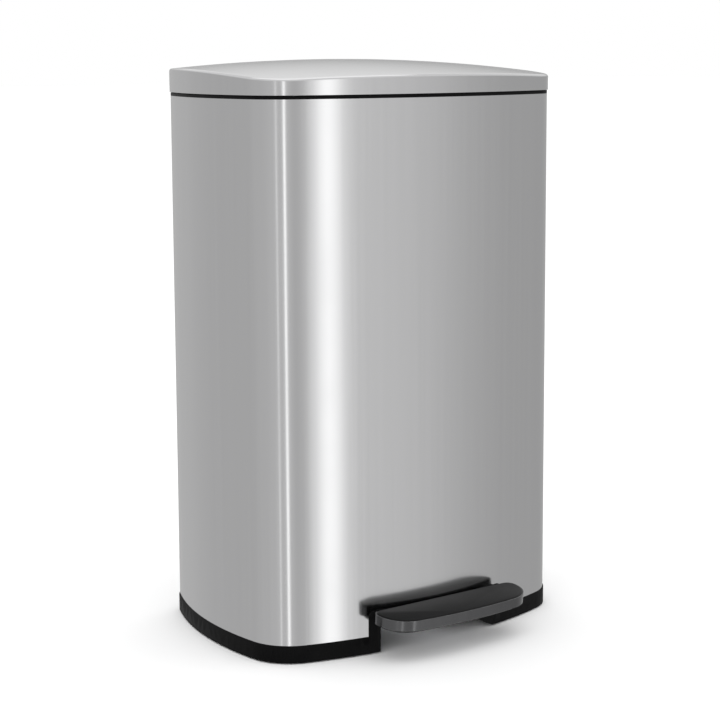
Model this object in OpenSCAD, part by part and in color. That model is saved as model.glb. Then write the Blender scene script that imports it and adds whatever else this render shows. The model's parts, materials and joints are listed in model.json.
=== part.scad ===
// Pedal trash can: a brushed steel body on a black base, a domed lid on a rear hinge,
// and a pedal lever that lifts the lid through a push rod behind the inner bucket.
// +Z is up, the pedal faces -Y, and the origin is on the floor under the middle of the whole can.

/* [Body] */
// Width of the steel body at its widest
body_w = 410; // [360:1:500]
// Depth of the steel body from the middle of the front to the back
body_d = 289; // [250:1:350]
// Height of the steel body's top edge above the floor
body_h = 601; // [450:1:740]
// Thickness of the body's steel sheet
shell_t = 0.6; // [0.4:0.1:1]
// How far the middle of the front bows out past its ends
front_bow = 39.5; // [30:0.5:50]
// Radius of each bowed side
side_r = 387; // [340:1:600]
// How far in front of the middle the sides are widest
side_peak = 30; // [0:1:40]
// Radius of the two front corners
front_corner_r = 54; // [40:1:65]
// Radius of the two back corners
back_corner_r = 26; // [22:1:34]

/* [Rim and lid] */
// Height of the black rim band between body and lid
rim_h = 3.6; // [3:0.1:5]
// Width of the rim's top
rim_w = 9; // [8:0.5:11]
// Gap between the rim and the lid's lower edge
lid_gap = 0.5; // [0.4:0.1:1]
// How far the lid stands out past the body
lid_over = 1.1; // [0.5:0.1:2]
// Thickness of the lid's steel sheet
lid_t = 0.7; // [0.5:0.1:1]
// Height of the lid in its middle
lid_h = 35.2; // [32:0.1:45]
// How much lower the lid's front edge is than its back edge
lid_fall = 11.6; // [6:0.1:12]
// Drop of the lid's top from the middle to the sides
crown_w = 10.3; // [6:0.1:11]
// Drop of the lid's top from the middle to the front and back
crown_d = 8.5; // [5:0.1:9]
// Radius of the lid's top edge
lid_edge_r = 3.5; // [2:0.1:5]
// Wall of the lid's plastic liner
liner_t = 2.4; // [2:0.1:3]

/* [Base] */
// Height of the black base band
base_h = 20; // [16:0.5:26]
// How far the base band stands out past the body
base_over = 1; // [0.5:0.1:2]
// Wall of the base moulding
base_t = 3; // [2.5:0.1:4]
// Height of the raised floor that carries the bucket
deck_z = 63; // [63:1:80]
// How far the rubber feet stand out below the base
foot_h = 1.5; // [1:0.1:3]
// Radius of each rubber foot
foot_r = 11; // [8:0.5:13]

/* [Bucket] */
// Gap between the rim and the inner bucket
bucket_gap = 3; // [2:0.5:4]
// Space kept behind the bucket for the push rod
rod_space = 36; // [35:1:45]
// Wall of the bucket
bucket_t = 2; // [1.5:0.1:3]
// How much narrower each side of the bucket is at its foot
bucket_draft = 8; // [4:0.5:12]
// How far the bucket's top is below the body's top edge
bucket_drop = 4; // [2:0.5:10]
// Radius of the bucket's back corners
bucket_corner_r = 24; // [20:1:32]
// Length of each hand hole in the bucket's sides
hand_hole_l = 95; // [80:1:110]
// Height of each hand hole
hand_hole_h = 26; // [22:1:32]

/* [Pedal] */
// Width of the pedal
pedal_w = 197; // [185:1:205]
// Length of the pedal from its back edge to its front
pedal_d = 49.5; // [44:0.5:58]
// Height of the pedal's back edge above the floor
pedal_z = 52; // [50:0.5:54]
// Slope of the pedal's top down to the front, in degrees
pedal_slope = 5; // [0:0.5:6]
// Height of the pedal's steel band
trim_h = 11; // [8:0.5:11]
// Thickness of the whole pedal
pedal_t = 17.5; // [17.5:0.5:18]
// Radius of the pedal's front corners
pedal_corner_r = 34; // [20:1:38]
// Radius of the pedal's back corners
pedal_back_r = 11; // [10:0.5:14]
// Radius of the pedal's bowed front edge
pedal_bow_r = 620; // [400:10:900]
// Gap between the pedal and the body
pedal_gap = 2.6; // [2:0.1:5]

/* [Pedal opening] */
// Clear width of the opening that the lever comes through
mouth_w = 160; // [140:1:170]
// Width of the black frame on each side of the opening
mouth_frame = 14; // [10:0.5:16]
// Height of the opening's frame above the floor
mouth_z = 48; // [47:0.5:50]
// Depth of the tunnel behind the opening
mouth_depth = 38; // [25:1:42]

/* [Mechanism] */
// Angle that the lid opens, in degrees
lid_angle = 75; // [60:1:80]
// Length of the crank between hinge and push rod
crank_r = 28; // [24:0.5:29]
// Diameter of the hinge pins
pin_d = 5; // [4:0.1:6]
// Diameter of the push rod
rod_d = 5; // [4:0.1:6]
// Diameter of the pedal axle
axle_d = 6; // [5:0.1:7]
// Distance of the pedal axle behind the body's front
axle_back = 74.5; // [65:0.5:85]
// Width of the steel lever channel
lever_w = 40; // [36:1:46]
// Thickness of the lever's steel
lever_t = 2.5; // [2:0.1:3]
// Play of the push rod's foot in the lever's slot
slot_play = 1.05; // [1:0.05:1.3]

/* [Fits] */
// Running clearance on the radius between a pin and its bore
run_fit = 0.05; // [0.02:0.01:0.1]
// Clearance on the radius round each screw
screw_fit = 0.1; // [0.05:0.05:0.2]
// Gap kept between pieces that sit beside each other
seat_gap = 0.2; // [0.1:0.05:0.3]

/* [Hidden] */

// Smoothness of round pieces
$fn = 96;
steel = [0.70, 0.70, 0.71];
zinc = [0.62, 0.64, 0.66];
black = [0.06, 0.06, 0.065];
rubber = [0.03, 0.03, 0.03];
grey = [0.16, 0.16, 0.17];

// Where the hinge housing ends behind the body, and so where the body stands over the origin
housing_d = 14;
pedal_front = pedal_gap + pedal_d * cos(pedal_slope) + pedal_t * sin(pedal_slope);
mid_y = (pedal_front - housing_d) / 2;
front_y = mid_y - body_d / 2;
back_y = mid_y + body_d / 2;

// Centres of the arcs that make the body's outline
front_r = pow(body_w / 2, 2) / (2 * front_bow) + front_bow / 2;
front_c = [0, front_y + front_r];
side_c = [body_w / 2 - side_r, mid_y - side_peak];
corner_c = circles_meet(front_c, front_r - front_corner_r, side_c, side_r - front_corner_r);
front_turn = bearing(front_c, corner_c);
side_turn = bearing(side_c, corner_c);

// Heights that follow from the driving ones
rim_z = body_h + rim_h;
lid_z = rim_z + lid_gap;
deck_t = base_t + 1.5;
plug_gap = shell_t + seat_gap;
screw_d = 4;
head_d = 7.5;
head_h = 2;

// Hinge and crank
lid_back = back_y + lid_over;
knuckle_r = pin_d / 2 + 3;
hinge_y = lid_back + knuckle_r + 1.4;
hinge_z = lid_z + knuckle_r - 0.6;
crank_y = hinge_y - crank_r * cos(lid_angle / 2);
crank_z = hinge_z - crank_r * sin(lid_angle / 2);
cheek_x = rod_d / 2 + 2;
cheek_t = 3.5;
lug_x = 52;
lug_t = 6;
knuckle_x = 20;
damper_r = 6;
damper_x = cheek_x + cheek_t + 6;
damper_l = 28.5;
shaft_r = 3;
crank_pin_r = 2;
eye_r = 5.5;

// Pedal lever: its rear end rises as far as the crank pin does
axle_y = front_y + axle_back;
pocket_h = 6.5;
lever_top = pedal_z - pedal_t + pocket_h;
flange_h = 12;
axle_z = lever_top - flange_h / 2;
arm = crank_y - axle_y;
rise = crank_r * sin(lid_angle / 2);
lever_half = asin(rise / arm);
foot_z = axle_z - arm * tan(lever_half);
foot_pin_r = 2.5;
ear_r = foot_pin_r + slot_play + 3;
ear_x = rod_d / 2 + 2;
ear_t = 2.5;
slot_run = crank_r * (1 - cos(lid_angle / 2)) + 1.5;

// ---- functions ----
function bearing(from, to) = atan2(to[1] - from[1], to[0] - from[0]);

// The front right crossing of two circles
function circles_meet(a, ra, b, rb) =
    let (gap = norm(b - a), u = (b - a) / gap, along = (ra * ra - rb * rb + gap * gap) / (2 * gap))
    a + along * u + sqrt(ra * ra - along * along) * [-u[1], u[0]];

// Points along an arc, leaving out its last one
function arc(c, r, a, b, n) =
    [for (i = [0 : n - 1]) let (t = a + (b - a) * i / n) c + r * [cos(t), sin(t)]];

// Centre of a back corner of radius r whose back edge is at y
function back_corner(y, r) =
    [side_c[0] + sqrt(pow(side_r - r, 2) - pow(y - r - side_c[1], 2)), y - r];

// Closed outline moved out by o, with its back edge at y and back corners of radius r
function outline(o, y = back_y, r = back_corner_r, fine = 1) =
    let (b = back_corner(y, r), back_turn = bearing(side_c, b),
         right = concat(arc(front_c, front_r + o, -90, front_turn, 8 * fine),
                        arc(corner_c, front_corner_r + o, front_turn, side_turn, 7 * fine),
                        arc(side_c, side_r + o, side_turn, back_turn, 9 * fine),
                        arc(b, r + o, back_turn, 90, 6 * fine), [[b[0], y + o]]),
         n = len(right))
    concat(right, [for (i = [n - 1 : -1 : 1]) [-right[i][0], right[i][1]]]);

// Height of the lid's domed top over a point
function lid_top(p) =
    let (u = p[0] / (body_w / 2), v = (p[1] - mid_y) / (body_d / 2))
    lid_z + lid_h + lid_fall / 2 * v - crown_w * u * u - crown_d * v * v;

// One ring of the lid's skin, shrunk towards the middle by k and lowered by dz
function lid_ring(o, k = 1, dz = 0) =
    [for (p = outline(o)) let (q = [p[0] * k, mid_y + (p[1] - mid_y) * k]) [q[0], q[1], lid_top(q) - dz]];

// A flat ring at height z
function flat(points, z) = [for (p = points) [p[0], p[1], z]];

// Rings of one face of the lid's skin, from its lower edge up to near the middle
function lid_skin(o, dz) =
    let (r = lid_edge_r)
    concat([flat(outline(o), lid_z)],
           [for (t = [0 : 22.5 : 90]) lid_ring(o - r * (1 - cos(t)), 1, dz + r * (1 - sin(t)))],
           [for (k = [0.93, 0.84, 0.72, 0.58, 0.42, 0.24]) lid_ring(o - r, k, dz)]);

function backwards(list) = [for (i = [len(list) - 1 : -1 : 0]) list[i]];

// Outline of the pedal in its own frame, moved out by o: back edge on y = 0, front towards -Y
function pedal_outline(o) =
    let (c = [0, pedal_bow_r - pedal_d], r = pedal_corner_r, side = pedal_w / 2 - r,
         p = [side, c[1] - sqrt(pow(pedal_bow_r - r, 2) - side * side)],
         turn = bearing(c, p), q = [pedal_w / 2 - pedal_back_r, -pedal_back_r],
         right = concat(arc(c, pedal_bow_r + o, -90, turn, 6), arc(p, r + o, turn, 0, 9),
                        arc(q, pedal_back_r + o, 0, 90, 4), [[q[0], o]]),
         n = len(right))
    concat(right, [for (i = [n - 1 : -1 : 1]) [-right[i][0], right[i][1]]]);

// ---- shared shapes ----
// A filled plate of the body's outline, moved out by o
module plate(o, z1, z2) {
    translate([0, 0, z1]) linear_extrude(z2 - z1) polygon(outline(o, fine = 2));
}

// A wall that follows the body's outline, from o1 to o2 outside it
module band(o1, o2, z1, z2) {
    translate([0, 0, z1]) linear_extrude(z2 - z1) difference() {
        polygon(outline(o2, fine = 2));
        polygon(outline(o1, fine = 2));
    }
}

// A box between two corners
module block(a, b) {
    translate(a) cube(b - a);
}

// A solid through rings of equal length, with flat ends, or with a point at each end
module loft(rings, points = []) {
    n = len(rings[0]);
    last = len(rings) - 1;
    all = [for (ring = rings) each ring];
    sides = [for (j = [0 : last - 1], i = [0 : n - 1])
             let (a = j * n + i, b = j * n + (i + 1) % n) each [[a, a + n, b + n], [a, b + n, b]]];
    low = [for (i = [0 : n - 1]) i];
    high = [for (i = [n - 1 : -1 : 0]) last * n + i];
    fans = [for (i = [0 : n - 1]) each [[i, (i + 1) % n, n * (last + 1)],
            [last * n + (i + 1) % n, last * n + i, n * (last + 1) + 1]]];
    if (len(points) == 0) polyhedron(all, concat(sides, [low, high]));
    else polyhedron(concat(all, points), concat(sides, fans));
}

// A round bar along X between two x values
module bar_x(r, x1, x2, y, z) {
    translate([x1, y, z]) rotate([0, 90, 0]) cylinder(r = r, h = x2 - x1);
}

// A flat link with round ends, cut from plate of thickness t that starts at x
module link(x, t, y1, z1, y2, z2, r) {
    turn = atan2(z2 - z1, y2 - y1);
    side = concat(arc([y2, z2], r, turn - 90, turn + 90, 20), arc([y1, z1], r, turn + 90, turn + 270, 20));
    translate([x, 0, 0]) rotate([90, 0, 90]) linear_extrude(t) polygon(side);
}

// A pan head screw whose head sits on z = 0 and whose shank goes down
module screw(l, r = screw_d / 2) {
    cylinder(r = r, h = l);
    difference() {
        translate([0, 0, -head_h]) cylinder(r = head_d / 2, h = head_h);
        for (a = [0, 90]) rotate(a) translate([-2.2, -0.45, -head_h - 1]) cube([4.4, 0.9, 1 + head_h / 2]);
    }
}

screw_hole = screw_d / 2 + screw_fit;

// ---- body ----
cutout_w = mouth_w + 2 * mouth_frame;
cutout_y = front_y + body_d / 4;

module cutout(grow, z) {
    r = 6;
    w = cutout_w / 2 + grow;
    block([-w, front_y - 5, -1], [w, cutout_y, z + grow - r]);
    block([-w + r, front_y - 5, z + grow - r - 1], [w - r, cutout_y, z + grow]);
    for (s = [-1, 1]) translate([s * (w - r), cutout_y, z + grow - r])
        rotate([90, 0, 0]) cylinder(r = r, h = cutout_y - front_y + 5);
}

crank_slot = cheek_x + cheek_t + 2;

module crank_cut(z) {
    block([-crank_slot, crank_y - 14, z], [crank_slot, back_y + 30, lid_z + 40]);
}

housing_w = 150;
housing_low = body_h - 60;
housing_screw_at = [for (x = [-55, 55], z = [housing_low + 22, body_h - 26]) [x, z]];

module body_shell() {
    color(steel) difference() {
        band(-shell_t, 0, base_h, body_h);
        cutout(seat_gap, mouth_z);
        crank_cut(crank_z - 1);
        for (p = housing_screw_at) translate([p[0], back_y - 5, p[1]])
            rotate([-90, 0, 0]) cylinder(r = screw_hole, h = 10);
        for (x = base_screw_x) translate([x, back_y - 5, base_screw_z])
            rotate([-90, 0, 0]) cylinder(r = screw_hole, h = 10);
    }
}

rim_deep = 24;

module rim_ring() {
    color(black) difference() {
        union() {
            band(-rim_w, 0, body_h, rim_z);
            band(-plug_gap - 2, -plug_gap, body_h - rim_deep, body_h + 1);
            band(-rim_w, 2 - rim_w, body_h - 8, body_h + 1);
        }
        crank_cut(crank_z - rim_deep);
        for (p = housing_screw_at) translate([p[0], back_y - 5, p[1]])
            rotate([-90, 0, 0]) cylinder(r = screw_hole + seat_gap, h = 10);
        for (s = [-1, 1]) translate([s * rim_screw_x, back_y - 20, body_h - 16])
            rotate([-90, 0, 0]) cylinder(r = screw_hole, h = 25);
    }
}

rim_screw_x = 120;

// ---- base ----
base_screw_x = [-120, 0, 120];
base_screw_z = base_h + 14;
foot_at = [for (s = [-1, 1]) each [[s * (body_w / 2 - 58), front_y + 58],
                                   [s * (body_w / 2 - 68), back_y - 34]]];
stud_r = 4;
stud_h = 8;
bracket_y = 12;
bracket_x = lever_w / 2 + 3;
bracket_t = 8;
rod_hole = [rod_d / 2 + 9, 9];

rib_z = deck_z - 18;

// Stiffening ribs under the raised floor, clear of the lever
module deck_ribs() {
    top = deck_z - deck_t + 1;
    for (s = [-1, 1], x = [48, 84]) translate([s * x, 0, 0])
        block([-1, cutout_y + 8, rib_z], [1, back_y, top]);
    for (s = [-1, 1], y = [axle_y + 30 : 60 : axle_y + 150])
        block([s > 0 ? 34 : -body_w, y - 1, rib_z], [s > 0 ? body_w : -34, y + 1, top]);
}

module base() {
    inner = -plug_gap - base_t;
    color(black) difference() {
        union() {
            band(base_over - base_t, base_over, foot_h, base_h);
            band(inner, 0, base_h - base_t, base_h);
            band(inner, -plug_gap, base_h - base_t, deck_z);
            plate(inner + 1, deck_z - deck_t, deck_z);
            for (p = foot_at) translate([p[0], p[1], foot_h])
                cylinder(r = foot_r + 3, h = deck_z - deck_t - foot_h + 1);
            intersection() {
                plate(inner + 0.5, rib_z, deck_z - deck_t + 1);
                deck_ribs();
            }
            for (p = bracket_screw_at) translate([p[0], p[1], deck_z - deck_t]) cylinder(r = 5, h = deck_t);
        }
        cutout(seat_gap, mouth_z);
        block([-tunnel_x, front_y - 5, -1], [tunnel_x, front_y + mouth_depth + 2, mouth_z + 1]);
        for (p = foot_at) translate([p[0], p[1], foot_h - 1])
            cylinder(r = stud_r + screw_fit, h = stud_h + 2);
        for (p = bracket_screw_at) translate([p[0], p[1], 0]) {
            cylinder(r = screw_hole, h = deck_z + 1);
            translate([0, 0, deck_z - head_h - 0.2]) cylinder(r = head_d / 2 + seat_gap, h = head_h + 1);
        }
        for (x = base_screw_x) translate([x, back_y - 20, base_screw_z])
            rotate([-90, 0, 0]) cylinder(r = screw_hole, h = 30);
        block([-rod_hole[0], rod_y - rod_hole[1], deck_z - deck_t - 1],
              [rod_hole[0], rod_y + rod_hole[1], deck_z + 1]);
        for (p = stop_at) translate([p[0], p[1], deck_z - deck_t - 1])
            cylinder(r = 2 + screw_fit, h = deck_t + 2);
    }
}

rod_y = crank_y - crank_r * (1 - cos(lid_angle / 2)) / 2;
bracket_screw_y = [axle_y - 8, axle_y + 8];
bracket_screw_at = [for (s = [-1, 1], y = bracket_screw_y) [s * (bracket_x + bracket_t / 2), y]];
tunnel_x = mouth_w / 2 + base_t + seat_gap;
mouth_top = mouth_z - 5.5;

module pedal_surround() {
    back = front_y + mouth_depth;
    color(black) difference() {
        union() {
            intersection() {
                band(-base_t - 1, base_over, foot_h, deck_z);
                cutout(0, mouth_z);
            }
            for (s = [-1, 1]) block([s > 0 ? mouth_w / 2 : -tunnel_x + seat_gap, front_y + 6, foot_h],
                                    [s > 0 ? tunnel_x - seat_gap : -mouth_w / 2, back, mouth_z]);
            block([-tunnel_x + seat_gap, front_y + 1, mouth_top], [tunnel_x - seat_gap, back, mouth_z]);
        }
        block([-mouth_w / 2, front_y - 5, -1], [mouth_w / 2, back + 1, mouth_top]);
    }
}

module rubber_feet() {
    color(rubber) for (p = foot_at) translate([p[0], p[1], 0]) {
        cylinder(r = foot_r, h = foot_h);
        cylinder(r = stud_r, h = foot_h + stud_h);
    }
}

module base_screws() {
    color(zinc) for (x = base_screw_x) translate([x, back_y, base_screw_z]) rotate([90, 0, 0]) screw(8);
}

module rim_screws() {
    color(zinc) for (s = [-1, 1]) translate([s * rim_screw_x, back_y - rim_w - 4, body_h - 16])
        rotate([-90, 0, 0]) screw(6);
}

// ---- bucket ----
bucket_top = body_h - bucket_drop;
bucket_out = -rim_w - bucket_gap;
bucket_back = back_y - rod_space;

function bucket_ring(o, z) = flat(outline(o, bucket_back - bucket_out, bucket_corner_r - bucket_out), z);

module inner_bucket() {
    lip = 6;
    wall = bucket_out - lip;
    foot = wall - bucket_draft;
    low = deck_z + seat_gap;
    t = bucket_t;
    color(grey) difference() {
        loft([bucket_ring(foot - 6, low), bucket_ring(foot - 2, low + 2), bucket_ring(foot, low + 8),
              bucket_ring(wall, bucket_top - 12), bucket_ring(bucket_out, bucket_top - 9),
              bucket_ring(bucket_out, bucket_top - 1), bucket_ring(bucket_out - 1, bucket_top),
              bucket_ring(wall - t + 1, bucket_top), bucket_ring(wall - t, bucket_top - 3),
              bucket_ring(foot - t, low + 10), bucket_ring(foot - 8, low + t)]);
        for (s = [-1, 1]) translate([s * (body_w / 2 - 30), mid_y - side_peak, bucket_top - 36]) {
            cube([60, hand_hole_l - hand_hole_h, hand_hole_h], center = true);
            for (e = [-1, 1]) translate([0, e * (hand_hole_l - hand_hole_h) / 2, 0])
                rotate([0, 90, 0]) cylinder(d = hand_hole_h, h = 60, center = true);
        }
    }
}

// ---- rear hinge ----
module wedge(x1, x2, in) {
    translate([x1, 0, 0]) rotate([90, 0, 90]) linear_extrude(x2 - x1)
        polygon([[back_y, housing_low + in * 2], [back_y + housing_d - in, housing_low + 30 + in],
                 [back_y + housing_d - in, rim_z - 0.8 - in], [back_y, rim_z - 0.8 - in]]);
}

knuckles = [[-lug_x + 0.4, -knuckle_x], [damper_x + damper_l + 1, lug_x - 0.4]];

module hinge_housing() {
    w = housing_w / 2;
    color(black) difference() {
        union() {
            difference() {
                wedge(-w, w, 0);
                wedge(-w + 2.5, w - 2.5, 2.5);
            }
            for (p = housing_screw_at) intersection() {
                wedge(-w, w, 0);
                translate([p[0], back_y, p[1]]) rotate([-90, 0, 0]) cylinder(r = 5, h = housing_d);
            }
            for (k = knuckles) {
                bar_x(knuckle_r, k[0], k[1], hinge_y, hinge_z);
                block([k[0], hinge_y - knuckle_r + 1, rim_z - 4], [k[1], back_y + housing_d, hinge_z]);
            }
            block([damper_x, hinge_y - damper_r + 1, rim_z - 4],
                  [damper_x + damper_l, back_y + housing_d, hinge_z - 1]);
        }
        crank_cut(crank_z - 3);
        bar_x(damper_r + run_fit, damper_x - 1, damper_x + damper_l + 0.5, hinge_y, hinge_z);
        bar_x(pin_d / 2 + run_fit, -lug_x - 5, lug_x + 5, hinge_y, hinge_z);
        for (p = housing_screw_at) translate([p[0], back_y - 1, p[1]])
            rotate([-90, 0, 0]) cylinder(r = screw_hole, h = 7);
    }
}

module hinge_pin(x1, x2) {
    color(zinc) {
        bar_x(pin_d / 2, x1, x2, hinge_y, hinge_z);
        if (x1 < 0) bar_x(pin_d / 2 + 1.2, x1 - 1.5, x1, hinge_y, hinge_z);
        else bar_x(pin_d / 2 + 1.2, x2, x2 + 1.5, hinge_y, hinge_z);
    }
}

module hinge_pin_left() {
    hinge_pin(-lug_x - lug_t - 0.5, -cheek_x + 0.5);
}

module hinge_pin_right() {
    hinge_pin(damper_x + damper_l + 1, lug_x + lug_t + 0.5);
}

module damper_barrel() {
    color(grey) difference() {
        bar_x(damper_r, damper_x, damper_x + damper_l, hinge_y, hinge_z);
        bar_x(shaft_r + run_fit, damper_x - 1, damper_x + 8, hinge_y, hinge_z);
    }
}

module damper_shaft() {
    color(zinc) bar_x(shaft_r, cheek_x + 0.5, damper_x + 7, hinge_y, hinge_z);
}

module housing_screws() {
    color(zinc) for (p = housing_screw_at) translate([p[0], back_y - shell_t, p[1]])
        rotate([-90, 0, 0]) translate([0, 0, p[1] > body_h - rim_deep - 6 ? -2 - seat_gap : 0]) screw(6);
}

// ---- lid ----
module lid_shell() {
    color(steel) difference() {
        loft(concat(backwards(lid_skin(lid_over - lid_t, lid_t)), lid_skin(lid_over, 0)),
             [[0, mid_y, lid_top([0, mid_y]) - lid_t], [0, mid_y, lid_top([0, mid_y])]]);
        block([-lug_x - lug_t - 4, back_y - 8, lid_z - 1], [lug_x + lug_t + 4, lid_back + 1, hinge_z + 8]);
    }
}

liner_z = lid_z + 0.8;
liner_o = lid_over - lid_t - seat_gap;
lid_screw_at = [for (x = [-38, 38], y = [hinge_y - 46, hinge_y - 26]) [x, y]];

module lid_liner() {
    color(black) difference() {
        union() {
            plate(liner_o, liner_z, liner_z + liner_t);
            band(liner_o - liner_t, liner_o, liner_z, liner_z + 12);
            for (x = [-120 : 60 : 120])
                block([x - 1, front_y + 40, liner_z + 1], [x + 1, hinge_y - 60, liner_z + 9]);
        }
        block([-crank_slot, crank_y - 16, liner_z - 1], [crank_slot, back_y + 5, liner_z + 20]);
        block([-lug_x - lug_t - 4, back_y - 17, liner_z - 1], [lug_x + lug_t + 4, lid_back + 1, hinge_z + 8]);
        for (p = lid_screw_at) translate([p[0], p[1], liner_z - 1]) cylinder(r = screw_hole, h = 10);
    }
}

bracket_z = liner_z + liner_t + seat_gap / 2;

module lid_bracket() {
    plate_t = 3;
    y1 = hinge_y - 54;
    y2 = back_y - 10;
    color(zinc) difference() {
        union() {
            block([-lug_x - lug_t, y1, bracket_z], [-crank_slot, y2, bracket_z + plate_t]);
            block([crank_slot, y1, bracket_z], [lug_x + lug_t, y2, bracket_z + plate_t]);
            block([-crank_slot - 1, y1, bracket_z], [crank_slot + 1, crank_y - 17, bracket_z + plate_t]);
            for (s = [-1, 1]) {
                x = s > 0 ? lug_x : -lug_x - lug_t;
                link(x, lug_t, hinge_y, hinge_z, back_y - 14, bracket_z + knuckle_r, knuckle_r);
                c = s > 0 ? cheek_x : -cheek_x - cheek_t;
                link(c, cheek_t, hinge_y, hinge_z, crank_y, crank_z, knuckle_r);
                block([c, crank_y - 20, bracket_z], [c + cheek_t, hinge_y, hinge_z + knuckle_r - 1.5]);
                block([s > 0 ? c : -crank_slot - 1, crank_y - 8, bracket_z + plate_t],
                      [s > 0 ? crank_slot + 1 : c + cheek_t, y2, bracket_z + plate_t + 2]);
            }
        }
        bar_x(pin_d / 2 + run_fit, -lug_x - 10, -1, hinge_y, hinge_z);
        bar_x(pin_d / 2 + run_fit, lug_x - 1, lug_x + 10, hinge_y, hinge_z);
        bar_x(shaft_r, 1, cheek_x + cheek_t + 1, hinge_y, hinge_z);
        bar_x(crank_pin_r, -20, 20, crank_y, crank_z);
        for (p = lid_screw_at) translate([p[0], p[1], bracket_z - 1]) cylinder(r = screw_hole, h = 10);
    }
}

module crank_pin() {
    color(zinc) bar_x(crank_pin_r, -cheek_x - cheek_t - 1, cheek_x + cheek_t + 1, crank_y, crank_z);
}

bumper_at = [for (s = [-1, 1]) each [[s * body_w / 4, front_y], [s * (body_w / 2 - 12), mid_y + body_d / 4]]];

module lid_bumpers() {
    color(rubber) intersection() {
        band(-rim_w + 2, -2, rim_z + 0.1, liner_z);
        for (p = bumper_at) translate([p[0], p[1], rim_z - 1]) cylinder(r = 16, h = 6);
    }
}

module lid_screws() {
    color(zinc) for (p = lid_screw_at) translate([p[0], p[1], liner_z]) screw(5);
}

// ---- push rod ----
module push_rod() {
    color(zinc) difference() {
        union() {
            translate([0, crank_y, foot_z]) cylinder(d = rod_d, h = crank_z - foot_z);
            bar_x(eye_r, 0.3 - cheek_x, cheek_x - 0.3, crank_y, crank_z);
            bar_x(eye_r - 0.5, 0.3 - ear_x, ear_x - 0.3, crank_y, foot_z);
        }
        bar_x(crank_pin_r + run_fit, -20, 20, crank_y, crank_z);
        bar_x(foot_pin_r, -20, 20, crank_y, foot_z);
    }
}

foot_pin_x = ear_x + ear_t + 2.5;

module foot_pin() {
    color(zinc) bar_x(foot_pin_r, -foot_pin_x, foot_pin_x, crank_y, foot_z);
}

module clip(x, r, y, z) {
    difference() {
        bar_x(r + 2, x, x + 1, y, z);
        bar_x(r, x - 1, x + 2, y, z);
    }
}

module foot_pin_clips() {
    color(zinc) for (x = [-foot_pin_x + 0.7, foot_pin_x - 1.7]) clip(x, foot_pin_r, crank_y, foot_z);
}

cover_x = rod_d / 2 + 13;
cover_y = crank_y - crank_r * (1 - cos(lid_angle / 2)) - 9;

module rod_cover() {
    t = 1.5;
    top = crank_z - 26;
    color(black) difference() {
        block([-cover_x, cover_y, deck_z], [cover_x, back_y - plug_gap - base_t - 0.5, top]);
        block([-cover_x + t, cover_y + t, deck_z - 1], [cover_x - t, back_y, top + 1]);
    }
}

module rod_grommet() {
    t = 1.6;
    a = rod_hole[0];
    b = rod_hole[1];
    color(rubber) translate([0, rod_y, 0]) difference() {
        union() {
            block([-a + screw_fit, -b + screw_fit, deck_z - deck_t], [a - screw_fit, b - screw_fit, deck_z]);
            block([-a - 1, -b - 1, deck_z], [a + 1, b + 1, deck_z + 1]);
        }
        block([-a + t, -b + t, deck_z - deck_t - 1], [a - t, b - t, deck_z + 2]);
    }
}

// ---- pedal lever ----
module axle_bracket(s) {
    x = s > 0 ? bracket_x : -bracket_x - bracket_t;
    top = deck_z - deck_t;
    color(grey) difference() {
        union() {
            block([x, axle_y - bracket_y, axle_z], [x + bracket_t, axle_y + bracket_y, top]);
            bar_x(bracket_y - 4, x, x + bracket_t, axle_y, axle_z);
        }
        bar_x(axle_d / 2, x - 1, x + bracket_t + 1, axle_y, axle_z);
        for (y = bracket_screw_y) translate([x + bracket_t / 2, y, top - 12])
            cylinder(r = screw_hole, h = 13);
    }
}

module axle_bracket_left() {
    axle_bracket(-1);
}

module axle_bracket_right() {
    axle_bracket(1);
}

axle_x = bracket_x + bracket_t + 3;

module pedal_axle() {
    color(zinc) bar_x(axle_d / 2, -axle_x, axle_x, axle_y, axle_z);
}

module axle_clips() {
    color(zinc) for (x = [-axle_x + 1, axle_x - 2]) clip(x, axle_d / 2, axle_y, axle_z);
}

module bracket_screws() {
    color(zinc) for (p = bracket_screw_at)
        translate([p[0], p[1], deck_z - head_h - 0.2]) rotate([180, 0, 0]) screw(12);
}

stop_at = [for (s = [-1, 1]) [s * (lever_w / 2 - 6), axle_y + arm * 0.62]];

module travel_stops() {
    reach = arm * 0.62 * sin(lever_half);
    low = axle_z + flange_h / 2 + reach + 1.2;
    color(rubber) for (p = stop_at) translate([p[0], p[1], 0]) {
        translate([0, 0, low]) cylinder(r = 5, h = deck_z - deck_t - low);
        translate([0, 0, low]) cylinder(r = 2, h = deck_z - low);
    }
}

module pedal_frame() {
    translate([0, front_y - pedal_gap, pedal_z]) rotate([pedal_slope, 0, 0]) children();
}

head_w = 110;
skirt_in = 8;
head_l = pedal_d - 17;
pedal_screw_at = [for (x = [-40, 40], y = [-10, -25]) [x, y]];

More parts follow.
